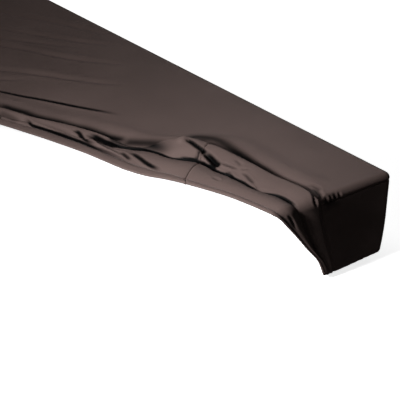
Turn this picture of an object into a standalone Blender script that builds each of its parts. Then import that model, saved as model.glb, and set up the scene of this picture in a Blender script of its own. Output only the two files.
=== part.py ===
"""Stretch dust cover for a 73-key stage piano, drawn back at its front right corner.

The cover is hollow and open below. Its elastic hem tucks under the body all round, except at the
front right, where the skirt is pulled up, laid over in two folds and led down the right end.

Every piece is a grid in flat cloth coordinates (u along the length, w from front to back). The grid
is folded over a box, its edges are rounded, and folds lift it off that box.
X runs to the right end, Y to the back and Z up. The origin lies under the top, at the middle of it.
Sizes are millimetres until the meshes are made.
"""

import math
from collections import namedtuple

import bmesh
import bpy

MM = 0.001

# Driving dimensions of the fitted cover.
LENGTH = 1086.0
DEPTH = 313.5
HEIGHT = 92.5
CLOTH = 1.6
HEM_TUCK = 28.0
EDGE_RADIUS = 6.5
HEM_CORNER_RADIUS = 30.0

# Places of the seams.
SEAM_DROP = 8.0
SEAM_GAP = 0.3
SEAM_MARGIN = 2.0
SEAM_DIP = 0.55
SEAM_SPREAD = 2.2
CORNER_SEAM = 10.0
CROSS_SEAM = 388.0

HALF_LENGTH = LENGTH / 2
HALF_DEPTH = DEPTH / 2
INSET = EDGE_RADIUS * (1 - math.tan(math.radians(22.5)))
HALF_GAP = SEAM_GAP / 2
HEM_END = HEIGHT + HEM_TUCK
FLANGE_FAN = HEM_TUCK + HEM_CORNER_RADIUS

# The top falls from back to front: height of the cloth over a place w, at mid length and at the ends.
Profile = namedtuple("Profile", "w middle end")
TOP_PROFILE = (
    Profile(-HALF_DEPTH, -21.5, -6.5),
    Profile(-150.0, -20.5, -6.2),
    Profile(-118.0, -14.5, -5.5),
    Profile(-87.0, -11.6, -5.0),
    Profile(-40.0, -8.6, -4.4),
    Profile(0.0, -5.0, -3.7),
    Profile(8.0, -4.3, -3.6),
    Profile(70.0, -2.4, -2.4),
    Profile(150.0, 0.0, 0.0),
    Profile(HALF_DEPTH, 0.0, 0.0),
)
END_BLOCK = 36.0
END_BLEND = 130.0
ORIGIN_LEVEL = 5.0

# The body's underside rises to the back, and its lower back edge is cut away.
BACK_LIFT = 3.5
BACK_CUT = 4.5
BACK_REACH = 70.0
CUT_FROM = 45.0

# One row for each section of the front skirt, at a place u along the cloth. Hem, tuck, crease and seam
# are the lines that run along it, as places w; band, middle and roll are the rises between those lines.
Section = namedtuple("Section", "u hem tuck crease seam band middle roll")
FULL_HEM = -(HALF_DEPTH + HEM_END)
FITTED_SEAM = -(HALF_DEPTH + SEAM_DROP)
END_TOP = HALF_LENGTH + SEAM_DROP
FRONT_SECTIONS = (
    Section(-HALF_LENGTH, FULL_HEM, -236.0, -196.0, FITTED_SEAM, 0.0, 0.0, 0.0),
    Section(-170.0, FULL_HEM, -236.0, -196.0, FITTED_SEAM, 0.0, 0.0, 0.0),
    Section(-120.0, -263.0, -230.0, -194.0, -163.5, 0.5, 0.5, 0.5),
    Section(-80.0, -238.0, -210.0, -184.0, -160.0, 2.0, 2.0, 2.5),
    Section(-40.0, -207.0, -187.0, -169.0, -151.0, 3.5, 3.0, 4.5),
    Section(-5.0, -181.0, -166.0, -152.0, -138.0, 4.0, 3.5, 5.0),
    Section(25.0, -163.0, -150.0, -138.0, -123.0, 4.0, 3.5, 5.5),
    Section(60.0, -147.0, -135.0, -125.0, -109.0, 4.0, 3.0, 5.5),
    Section(100.0, -131.0, -119.0, -109.0, -93.0, 4.0, 3.0, 5.5),
    Section(150.0, -113.0, -99.0, -90.0, -75.0, 4.5, 3.5, 6.0),
    Section(200.0, -94.0, -80.0, -71.0, -57.0, 5.0, 4.0, 6.0),
    Section(250.0, -77.0, -65.0, -53.0, -34.0, 5.0, 5.0, 7.0),
    Section(300.0, -63.0, -50.0, -35.0, -12.0, 5.0, 6.0, 8.0),
    Section(345.0, -50.0, -36.0, -10.0, 16.0, 4.5, 7.0, 10.0),
    Section(372.0, -43.0, -29.0, 1.0, 46.0, 4.5, 7.0, 13.0),
    Section(400.0, -33.0, -19.0, 8.0, 59.0, 5.0, 6.0, 11.0),
    Section(430.0, -18.0, -4.0, 15.0, 60.0, 5.0, 4.5, 9.5),
    Section(460.0, -7.0, 7.0, 21.0, 61.0, 5.0, 4.0, 9.0),
    Section(490.0, 3.0, 16.0, 27.0, 64.0, 5.0, 4.0, 8.5),
    Section(520.0, 10.0, 23.0, 35.0, 66.0, 4.5, 3.5, 7.5),
    Section(HALF_LENGTH, 15.0, 28.0, 41.0, 66.0, 4.0, 3.0, 5.0),
    Section(HALF_LENGTH + 12.0, 24.0, 36.0, 47.0, 68.0, 4.0, 2.5, 3.0),
    Section(HALF_LENGTH + 30.0, 38.0, 46.0, 53.0, 73.0, 3.5, 2.0, 2.0),
    Section(HALF_LENGTH + 50.0, 53.0, 58.0, 63.0, 79.0, 3.0, 1.5, 1.5),
    Section(HALF_LENGTH + 72.0, 70.0, 74.0, 78.0, 86.0, 2.0, 1.0, 1.0),
    Section(HALF_LENGTH + HEIGHT, 79.0, 83.0, 87.0, 91.0, 1.0, 0.5, 0.5),
    Section(HALF_LENGTH + HEM_END, 94.0, 95.5, 97.0, 98.7, 0.0, 0.0, 0.0),
)

# The skirt's sections lean to the right towards the hem, most of all beside the cross seam.
LEAN = 46.0
LEAN_WIDTH = 110.0
LEAN_FADE = 60.0

# The front skirt is fitted up to one place, then blends into its folds and loses its gathers.
FITTED_TO = -170.0
FITTED_BLEND = 80.0
GATHERED_TO = -120.0
GATHERED_BLEND = 60.0

# Soft pull lines across the top, from front left to back right, where the cloth is drawn tight.
PullLine = namedtuple("PullLine", "u0 w0 u1 w1 depth")
PULL_LINES = (
    PullLine(-330.0, 18.0, 27.0, 144.0, 2.5),
    PullLine(-262.0, -42.0, 66.0, 138.0, 3.0),
    PullLine(-226.0, -66.0, 42.0, 98.0, 2.5),
    PullLine(-190.0, -76.0, 132.0, 110.0, 3.0),
    PullLine(-92.0, -104.0, 190.0, 70.0, 3.0),
    PullLine(-10.0, -92.0, 106.0, -8.0, 2.0),
    PullLine(20.0, -90.0, 290.0, 28.0, 3.5),
)
PULL_WIDTH = 8.0
PULL_CREST = 0.45
PULL_START = 0.3
PULL_STOP = 0.45
PULL_EDGE = 22.0
PULL_SEAM = 14.0

# The valley along the seam, where the skirt is gathered on the top, and the swell behind it.
VALLEY_DEPTH = 2.0
VALLEY_WIDTH = 9.0
VALLEY_FROM = -60.0
VALLEY_BLEND = 160.0
VALLEY_END = 24.0
SWELL_SHARE = 0.3
SWELL_PLACE = 2.6
SWELL_WIDTH = 1.3

# Grid steps: (start, stop, step) along the length, and rows across each stretch of cloth.
STATION_RUNS = ((-510.0, -330.0, 45.0), (-300.0, -120.0, 20.0), (-102.0, 330.0, 16.0),
                (342.0, 400.0, 11.5), (414.0, 530.0, 16.0))
END_STEPS = (16.0, 26.0, 38.0, 51.0, 64.0, 76.0, HEIGHT - EDGE_RADIUS, HEIGHT - INSET, HEIGHT,
             HEIGHT + INSET, HEIGHT + EDGE_RADIUS, HEIGHT + 16.0, HEM_END)
SEAM_CLEAR = 4.0
TOP_ROWS = 18
SKIRT_ROWS = (SEAM_DROP + SEAM_GAP / 2, SEAM_DROP + SEAM_MARGIN, 22.0, 36.0, 50.0, 66.0,
              HEIGHT - EDGE_RADIUS, HEIGHT - INSET, HEIGHT, HEIGHT + INSET, HEIGHT + EDGE_RADIUS,
              HEIGHT + 16.0, HEM_END)
BACK_STEPS = (30.0, 62.0)
BACK_PITCH = 43.0
BACK_PLACES = 21
CORNER_TURN = (0.0, INSET, EDGE_RADIUS, 13.0, 24.0, 40.0, FLANGE_FAN)
RIGHT_TURN_FROM = 100.0
RIGHT_COLUMNS = 4
LEFT_COLUMNS = 5
LEFT_PITCH = (HALF_DEPTH - FLANGE_FAN) / 3
ZONE_ROWS = (("hem", "tuck", "band", 3), ("tuck", "crease", "middle", 3), ("crease", "seam", "roll", 5))
ROLL_LEAN = 0.72
ROLL_FULLNESS = 0.8

# Gathers that the elastic draws into the hem, of two pitches, and the slack of the wall above it.
GATHER_PITCH = 41.0
GATHER_HEIGHT = 1.1
LONG_PITCH = 67.0
LONG_SHARE = 0.6
LONG_SHIFT = 1.3
SLACK = 1.2
SLACK_PITCH = 233.0
SLACK_SHARE = 0.4
SEAM_FADE = 40.0

Cloth = namedtuple("Cloth", "colour roughness")
CLOTHS = {
    "top_panel": Cloth((0.095, 0.072, 0.066), 0.62),
    "skirt_back": Cloth((0.070, 0.053, 0.049), 0.66),
    "skirt_end": Cloth((0.040, 0.031, 0.030), 0.66),
    "skirt_front": Cloth((0.085, 0.065, 0.060), 0.64),
}


def clear_scene():
    """Remove whatever the opened file holds."""
    for old in list(bpy.data.objects):
        bpy.data.objects.remove(old, do_unlink=True)


def clamp(value, low, high):
    """Keep a value between two others."""
    return max(low, min(high, value))


def ease(share):
    """Blend smoothly from 0 to 1."""
    share = clamp(share, 0.0, 1.0)
    return share * share * (3 - 2 * share)


def along_table(rows, at, field):
    """Read one column of a table at a place between its rows, on a smooth curve."""
    places = [row[0] for row in rows]
    at = clamp(at, places[0], places[-1])
    k = 0
    while k < len(rows) - 2 and at > places[k + 1]:
        k += 1
    values = [getattr(row, field) for row in rows]
    span = places[k + 1] - places[k]
    share = (at - places[k]) / span
    rise = (values[k + 1] - values[k]) / span
    slopes = []
    for end in (k, k + 1):
        if end == 0 or end == len(rows) - 1:
            slopes.append(rise)
            continue
        before = (values[end] - values[end - 1]) / (places[end] - places[end - 1])
        after = (values[end + 1] - values[end]) / (places[end + 1] - places[end])
        slopes.append(0.0 if before * after <= 0 else 2 * before * after / (before + after))
    near = (1 + 2 * share) * (1 - share) ** 2 * values[k] + share * (1 - share) ** 2 * span * slopes[0]
    far = share ** 2 * (3 - 2 * share) * values[k + 1] - share ** 2 * (1 - share) * span * slopes[1]
    return near + far


def top_height(x, y):
    """Height of the smooth cloth at a place in plan, over the level of the back edge."""
    middle = along_table(TOP_PROFILE, y, "middle")
    end = along_table(TOP_PROFILE, y, "end")
    share = ease((HALF_LENGTH - END_BLOCK - abs(x)) / END_BLEND)
    return end + (middle - end) * share


def wall_point(px, py, depth):
    """Point of the square-edged box, at a distance below its top edge and then in under its bottom."""
    if depth <= HEIGHT:
        return px, py, -depth
    core_x = clamp(px, FLANGE_FAN - HALF_LENGTH, HALF_LENGTH - FLANGE_FAN)
    core_y = clamp(py, FLANGE_FAN - HALF_DEPTH, HALF_DEPTH - FLANGE_FAN)
    out = math.hypot(px - core_x, py - core_y)
    hem_x = core_x + (px - core_x) / out * HEM_CORNER_RADIUS
    hem_y = core_y + (py - core_y) / out * HEM_CORNER_RADIUS
    share = (depth - HEIGHT) / HEM_TUCK
    return px + (hem_x - px) * share, py + (hem_y - py) * share, -HEIGHT


def upright_gap(depth):
    """Half the gap of an upright corner seam; it widens under the bottom, where the cloth fans in."""
    return HALF_GAP * (1 + SEAM_SPREAD * clamp((depth - HEIGHT) / HEM_TUCK, 0.0, 1.0))


def box_point(u, w):
    """Fold a place of the flat cloth over the square-edged box."""
    over_u = abs(u) - HALF_LENGTH
    over_w = abs(w) - HALF_DEPTH
    px = clamp(u, -HALF_LENGTH, HALF_LENGTH)
    py = clamp(w, -HALF_DEPTH, HALF_DEPTH)
    return wall_point(px, py, max(over_u, over_w, 0.0))


def shape(point, rise=0.0):
    """Round the box's edges, lift the point off the box and let the top fall to the front."""
    limits = (HALF_LENGTH - EDGE_RADIUS, HALF_DEPTH - EDGE_RADIUS)
    core = (clamp(point[0], -limits[0], limits[0]), clamp(point[1], -limits[1], limits[1]),
            clamp(point[2], EDGE_RADIUS - HEIGHT, -EDGE_RADIUS))
    away = [point[axis] - core[axis] for axis in range(3)]
    reach = math.sqrt(sum(value * value for value in away))
    x, y, z = (core[axis] + away[axis] / reach * (EDGE_RADIUS + rise) for axis in range(3))
    level = clamp((z + HEIGHT) / HEIGHT, 0.0, 1.0)
    back = ease((y - HALF_DEPTH + BACK_REACH) / BACK_REACH)
    z += top_height(x, y) * level + BACK_LIFT * back * (1 - level) + CLOTH + ORIGIN_LEVEL
    cut = clamp((-core[2] - CUT_FROM) / (HEIGHT - CUT_FROM), 0.0, 1.0) ** 2
    return x, y - BACK_CUT * back * cut, z


def seam_line(u):
    """Place w of the seam between the top and the front skirt."""
    return along_table(FRONT_SECTIONS, min(u, END_TOP), "seam")


def pull_relief(u, w):
    """Soft creases along the pull lines of the top, each with a low swell beside it."""
    relief = 0.0
    for line in PULL_LINES:
        run_u = line.u1 - line.u0
        run_w = line.w1 - line.w0
        length = math.hypot(run_u, run_w)
        along = ((u - line.u0) * run_u + (w - line.w0) * run_w) / length ** 2
        off = ((w - line.w0) * run_u - (u - line.u0) * run_w) / length
        fade = ease(along / PULL_START) * ease((1 - along) / PULL_STOP)
        crease = math.exp(-(off / PULL_WIDTH) ** 2)
        swell = math.exp(-((off + 2 * PULL_WIDTH) / (1.6 * PULL_WIDTH)) ** 2)
        relief += fade * line.depth * (PULL_CREST * swell - crease)
    return relief


def valley_depth(u):
    """Depth of the valley along the seam, where the skirt is gathered on the top."""
    return VALLEY_DEPTH * ease((u - VALLEY_FROM) / VALLEY_BLEND) * ease((HALF_LENGTH - u) / VALLEY_END)


def top_relief(u, w):
    """Relief of the top: the pull lines, and the valley beside the gathered skirt."""
    if abs(u) > HALF_LENGTH or abs(w) > HALF_DEPTH:
        return 0.0
    near = (w - seam_line(u)) / VALLEY_WIDTH
    swell = SWELL_SHARE * math.exp(-((near - SWELL_PLACE) / SWELL_WIDTH) ** 2)
    inside = ease((HALF_DEPTH - abs(w)) / PULL_EDGE) * ease((w - seam_line(u)) / PULL_SEAM)
    return inside * pull_relief(u, w) + valley_depth(u) * (swell - math.exp(-near ** 2))


def gather(run, depth, from_seam):
    """Uneven gathers of a skirt: none at its seams, soft slack on its wall, most at its hem."""
    wave = math.sin(2 * math.pi * run / GATHER_PITCH)
    wave += LONG_SHARE * math.sin(2 * math.pi * run / LONG_PITCH + LONG_SHIFT)
    slack = SLACK * math.sin(math.pi * clamp((depth - SEAM_DROP) / (HEIGHT - SEAM_DROP), 0.0, 1.0))
    hem = GATHER_HEIGHT * ease((depth - HEIGHT) / HEM_TUCK)
    full = hem * wave - slack * (LONG_SHARE + SLACK_SHARE * math.sin(2 * math.pi * run / SLACK_PITCH))
    return full * ease(from_seam / SEAM_FADE)


def add_sheet(name, grid, cloth, collection):
    """Make one piece of cloth from a grid of points, and give it its thickness."""
    mesh_points = bmesh.new()
    rows = [[mesh_points.verts.new([value * MM for value in point]) for point in row] for row in grid]
    for i in range(len(rows) - 1):
        for j in range(len(rows[0]) - 1):
            mesh_points.faces.new((rows[i][j], rows[i + 1][j], rows[i + 1][j + 1], rows[i][j + 1]))
    bmesh.ops.remove_doubles(mesh_points, verts=mesh_points.verts, dist=0.01 * MM)
    bmesh.ops.dissolve_degenerate(mesh_points, edges=mesh_points.edges, dist=0.01 * MM)
    bmesh.ops.triangulate(mesh_points, faces=mesh_points.faces, quad_method="FIXED")
    mesh = bpy.data.meshes.new(name)
    mesh_points.to_mesh(mesh)
    mesh_points.free()
    mesh.shade_smooth()
    piece = bpy.data.objects.new(name, mesh)
    collection.objects.link(piece)
    thickness = piece.modifiers.new("Cloth thickness", "SOLIDIFY")
    thickness.thickness = CLOTH * MM
    thickness.offset = -1.0
    thickness.use_rim = True
    mesh.materials.append(make_material(name, cloth))
    return piece


def make_material(name, cloth):
    """Plain knitted cloth of one colour."""
    material = bpy.data.materials.new(name + "_cloth")
    material.use_nodes = True
    shader = material.node_tree.nodes["Principled BSDF"]
    shader.inputs["Base Color"].default_value = (*cloth.colour, 1.0)
    shader.inputs["Roughness"].default_value = cloth.roughness
    shader.inputs["Metallic"].default_value = 0.0
    return material


def stations():
    """Places along the length that the top and the front skirt share."""
    places = [CORNER_SEAM - HALF_LENGTH, CORNER_SEAM - HALF_LENGTH + SEAM_MARGIN]
    for start, stop, step in STATION_RUNS:
        count = round((stop - start) / step)
        places += [start + (stop - start) * k / count for k in range(count + 1)]
    places = [place for place in places if abs(place - CROSS_SEAM) > SEAM_CLEAR]
    return sorted(places + [CROSS_SEAM])


def edge_places(edge, seam):
    """Places that round one edge, from the flat side to the seam beyond the edge."""
    sign = 1 if seam > edge else -1
    return [edge - sign * EDGE_RADIUS, edge - sign * INSET, edge, edge + sign * INSET,
            edge + sign * EDGE_RADIUS, seam]


def top_panel(collection):
    """The top, with its rounded edges; its front edge follows the drawn-back seam."""
    left = edge_places(-HALF_LENGTH, HALF_GAP - HALF_LENGTH - SEAM_DROP)[::-1]
    right = edge_places(HALF_LENGTH, END_TOP - HALF_GAP)
    columns = left + stations() + right
    back = edge_places(HALF_DEPTH, HALF_DEPTH + SEAM_DROP - HALF_GAP)
    near_seam = (HALF_GAP, SEAM_DROP - EDGE_RADIUS, SEAM_DROP - INSET, SEAM_DROP,
                 SEAM_DROP + INSET, SEAM_DROP + EDGE_RADIUS)
    grid = []
    for u in columns:
        front = seam_line(u)
        start = front + near_seam[-1]
        rows = [front + step for step in near_seam]
        rows += [start + (back[0] - start) * k / TOP_ROWS for k in range(1, TOP_ROWS)]
        dips = [SEAM_DIP] + [0.0] * (len(rows + back) - 2) + [SEAM_DIP]
        if u in (columns[0], columns[-1]):
            dips = [SEAM_DIP] * len(dips)
        grid.append([shape(box_point(u, w), top_relief(u, w) - dip) for w, dip in zip(rows + back, dips)])
    return add_sheet("top_panel", grid, CLOTHS["top_panel"], collection)


def front_row(u_seam, dip):
    """One lengthwise section of the front skirt, from its hem to its seam with the top."""
    lean = LEAN * math.exp(-((u_seam - CROSS_SEAM) / LEAN_WIDTH) ** 2)
    lean *= ease((END_TOP - u_seam) / LEAN_FADE)
    count = sum(zone[3] for zone in ZONE_ROWS)
    points = []
    step = 0
    for low, high, swell, rows in ZONE_ROWS:
        for k in range(rows):
            share = k / rows
            u = u_seam + lean * (1 - step / count)
            start = along_table(FRONT_SECTIONS, u, low)
            stop = along_table(FRONT_SECTIONS, u, high)
            bent = share ** (1 / ROLL_LEAN) if high == "seam" else share
            fitted = ease((FITTED_TO + FITTED_BLEND - u) / FITTED_BLEND)
            w = start + (stop - start) * bent
            w += (-HALF_DEPTH - SKIRT_ROWS[-1 - step] - w) * fitted
            lift = along_table(FRONT_SECTIONS, u, swell) * math.sin(math.pi * share) ** ROLL_FULLNESS
            if u_seam == CORNER_SEAM - HALF_LENGTH:
                u += upright_gap(-w - HALF_DEPTH)
            points.append((u, w, lift - dip))
            step += 1
    seam = seam_line(u_seam) if u_seam < END_TOP else along_table(FRONT_SECTIONS, u_seam, "seam")
    u = u_seam + HALF_GAP * (u_seam == CORNER_SEAM - HALF_LENGTH)
    points.append((u, seam - SEAM_MARGIN, -valley_depth(u) - dip))
    points.append((u, seam - HALF_GAP, -valley_depth(u) - max(dip, SEAM_DIP)))
    lengthwise = [gather(u, -w - HALF_DEPTH, u + HALF_LENGTH - CORNER_SEAM) for u, w, lift in points]
    loose = ease((GATHERED_TO + GATHERED_BLEND - u_seam) / GATHERED_BLEND)
    return [shape(box_point(u, w), lift + loose * slack)
            for (u, w, lift), slack in zip(points, lengthwise)]


def front_skirt(name, columns, collection, sewn_left, sewn_right):
    """A length of the front skirt: fitted at the left, folded on itself at the right."""
    grid = [front_row(u, 0.0) for u in columns]
    if sewn_left:
        grid[0] = front_row(columns[0], SEAM_DIP)
    if sewn_right:
        grid[-1] = front_row(columns[-1], SEAM_DIP)
    return add_sheet(name, grid, CLOTHS["skirt_front"], collection)


def back_skirt(collection):
    """The back skirt, from the seam below the top edge to the hem under the bottom."""
    seam = HALF_LENGTH - CORNER_SEAM
    middle = [BACK_PITCH * (k - BACK_PLACES // 2) for k in range(BACK_PLACES)]
    grid = []
    for depth in SKIRT_ROWS:
        reach = seam - upright_gap(depth)
        right = [seam - step for step in BACK_STEPS[::-1]] + [seam - SEAM_MARGIN, reach]
        places = [-x for x in right[::-1]] + middle + right
        row = []
        for x in places:
            sewn = depth == SKIRT_ROWS[0] or abs(x) == reach
            rise = gather(x, depth, seam - abs(x)) - SEAM_DIP * sewn
            row.append(shape(wall_point(x, HALF_DEPTH, depth), rise))
        grid.append(row)
    return add_sheet("skirt_back", grid[::-1], CLOTHS["skirt_back"], collection)


def corner_seam(depth):
    """Place w of the seam between the front skirt and the right end."""
    return along_table(FRONT_SECTIONS, HALF_LENGTH + depth, "seam")


def end_skirt(name, side, collection):
    """One end of the cover, with the two upright corners that its cloth turns."""
    wall_x = side * HALF_LENGTH
    grid = []
    for depth in SKIRT_ROWS:
        seam = HALF_LENGTH - CORNER_SEAM + upright_gap(depth)
        around = [(side * seam, HALF_DEPTH),
                  (side * (HALF_LENGTH - EDGE_RADIUS), HALF_DEPTH),
                  (side * (HALF_LENGTH - INSET), HALF_DEPTH)]
        around += [(wall_x, HALF_DEPTH - step) for step in CORNER_TURN]
        if side > 0:
            stop = corner_seam(depth) + HALF_GAP
            around = [spot for spot in around if spot[1] > RIGHT_TURN_FROM]
            last = around[-1][1]
            run = (stop + SEAM_MARGIN - last) / RIGHT_COLUMNS
            around += [(wall_x, last + run * k) for k in range(1, RIGHT_COLUMNS + 1)]
            around.append((wall_x, stop))
        else:
            last = around[-1][1]
            around += [(wall_x, last - LEFT_PITCH * k) for k in range(1, LEFT_COLUMNS + 1)]
            around += [(wall_x, step - HALF_DEPTH) for step in CORNER_TURN[::-1]]
            around += [(INSET - HALF_LENGTH, -HALF_DEPTH), (EDGE_RADIUS - HALF_LENGTH, -HALF_DEPTH),
                       (-seam, -HALF_DEPTH)]
        runs = [0.0]
        for (x0, y0), (x1, y1) in zip(around, around[1:]):
            runs.append(runs[-1] + math.hypot(x1 - x0, y1 - y0))
        row = []
        for (x, y), run in zip(around, runs):
            sewn = depth == SKIRT_ROWS[0] or run in (0.0, runs[-1])
            rise = gather(run, depth, min(run, runs[-1] - run)) - SEAM_DIP * sewn
            row.append(shape(wall_point(x, y, depth), rise))
        grid.append(row)
    if side > 0:
        grid.reverse()
    return add_sheet(name, grid, CLOTHS["skirt_end"], collection)


def build_cover():
    """Cut and place every piece of the cover."""
    clear_scene()
    collection = bpy.data.collections.new("piano_cover")
    bpy.context.scene.collection.children.link(collection)
    top_panel(collection)
    places = stations()
    left = [place for place in places if place < CROSS_SEAM]
    right = [place for place in places if place > CROSS_SEAM] + edge_places(HALF_LENGTH, END_TOP)
    right += [HALF_LENGTH + step for step in END_STEPS]
    front_skirt("skirt_front_left", left + [CROSS_SEAM - SEAM_MARGIN, CROSS_SEAM - HALF_GAP],
                collection, 1, 1)
    front_skirt("skirt_front_right", [CROSS_SEAM + HALF_GAP, CROSS_SEAM + SEAM_MARGIN] + right,
                collection, 1, 0)
    back_skirt(collection)
    end_skirt("skirt_end_right", 1, collection)
    end_skirt("skirt_end_left", -1, collection)


build_cover()
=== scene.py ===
"""Stretch dust cover for a 73-key stage piano, dressed as knitted cloth.

Six thin sheets of knit stand on the six solids of the frame. Each sheet is a fine grid in flat cloth
coordinates: u runs along the length and w from front to back, in millimetres. The grid is folded over
the form of the fitted cover, rounded at its edges and lifted into folds. Creases are lines in the flat
cloth. Those of the top run on over the right end. Those of the front skirt are laid by the place u and
the length of cloth from the hem, and run on over its cross seam.
"""

from __future__ import annotations

import logging
import math
from dataclasses import dataclass, field
from enum import Enum

import bmesh
import bpy
import numpy as np
from mathutils import Matrix, Vector


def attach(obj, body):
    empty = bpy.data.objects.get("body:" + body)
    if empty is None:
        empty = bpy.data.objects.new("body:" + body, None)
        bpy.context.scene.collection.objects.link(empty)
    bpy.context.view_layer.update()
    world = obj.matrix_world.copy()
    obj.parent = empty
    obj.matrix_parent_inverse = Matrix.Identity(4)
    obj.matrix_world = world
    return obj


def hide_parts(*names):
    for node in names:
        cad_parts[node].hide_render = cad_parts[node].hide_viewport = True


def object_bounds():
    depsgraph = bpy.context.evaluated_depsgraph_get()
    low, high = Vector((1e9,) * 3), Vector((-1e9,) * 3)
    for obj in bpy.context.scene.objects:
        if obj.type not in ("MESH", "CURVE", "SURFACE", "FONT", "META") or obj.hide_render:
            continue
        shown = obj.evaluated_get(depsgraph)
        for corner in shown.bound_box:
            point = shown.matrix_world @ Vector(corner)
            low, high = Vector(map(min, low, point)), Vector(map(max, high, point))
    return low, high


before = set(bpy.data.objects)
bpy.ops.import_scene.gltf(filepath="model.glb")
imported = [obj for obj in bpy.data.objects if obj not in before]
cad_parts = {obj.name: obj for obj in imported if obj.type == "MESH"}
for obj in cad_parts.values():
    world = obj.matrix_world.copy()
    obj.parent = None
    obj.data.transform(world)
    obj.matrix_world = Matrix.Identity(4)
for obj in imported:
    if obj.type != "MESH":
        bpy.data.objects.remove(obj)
CAD_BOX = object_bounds()

MM = 0.001
CLOTH_UV = "Cloth"
# Painted shade: how far the cloth's colour darkens to black in crease hollows and behind the rolls
PAINTED_SHADE = "painted_shade"
LOG = logging.getLogger("piano_cover")
Array = np.ndarray
Socket = bpy.types.NodeSocket
Colour = tuple[float, float, float]
Place = tuple[float, float, float]


class Hold(Enum):
    """How a sheet is held on the form."""

    STRETCHED = "stretched"
    GATHERED = "gathered"


def ease(share: Array | float) -> Array:
    """Blend smoothly from 0 to 1."""
    share = np.clip(share, 0.0, 1.0)
    return share * share * (3 - 2 * share)


def bell(distance: Array) -> Array:
    """Soft hump of height 1 round a distance of 0."""
    return np.exp(-distance * distance)


def graded(*runs: tuple[float, float, float]) -> Array:
    """Places along a line, in runs of their own steps.

    Args:
        runs: start, stop and step of each run, one after the other.

    Returns:
        The places in rising order, without doubles.
    """
    places: list[float] = []
    for start, stop, step in runs:
        count = max(1, round(abs(stop - start) / step))
        places += [start + (stop - start) * k / count for k in range(count + 1)]
    return np.unique(np.round(places, 4))


@dataclass(frozen=True)
class Curve:
    """A smooth curve through a short table, without overshoot."""

    places: tuple[float, ...]
    values: tuple[float, ...]

    def at(self, where: Array | float) -> Array:
        """Read the curve.

        Args:
            where: places on the curve; beyond its ends it stays level.

        Returns:
            The values there.
        """
        x = np.asarray(self.places, dtype=float)
        y = np.asarray(self.values, dtype=float)
        rise = np.diff(y) / np.diff(x)
        slopes = np.empty_like(y)
        slopes[0], slopes[-1] = rise[0], rise[-1]
        both = rise[:-1] * rise[1:]
        total = rise[:-1] + rise[1:]
        slopes[1:-1] = np.where(both > 0, 2 * both / np.where(both > 0, total, 1.0), 0.0)
        where = np.clip(np.asarray(where, dtype=float), x[0], x[-1])
        k = np.clip(np.searchsorted(x, where, side="left") - 1, 0, len(x) - 2)
        span = x[k + 1] - x[k]
        t = (where - x[k]) / span
        near = (1 + 2 * t) * (1 - t) ** 2 * y[k] + t * (1 - t) ** 2 * span * slopes[k]
        far = t * t * (3 - 2 * t) * y[k + 1] - t * t * (1 - t) * span * slopes[k + 1]
        return near + far


@dataclass(frozen=True)
class TopRow:
    """Height of the top at a place w: at mid length and at the ends."""

    w: float
    middle: float
    end: float


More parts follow.
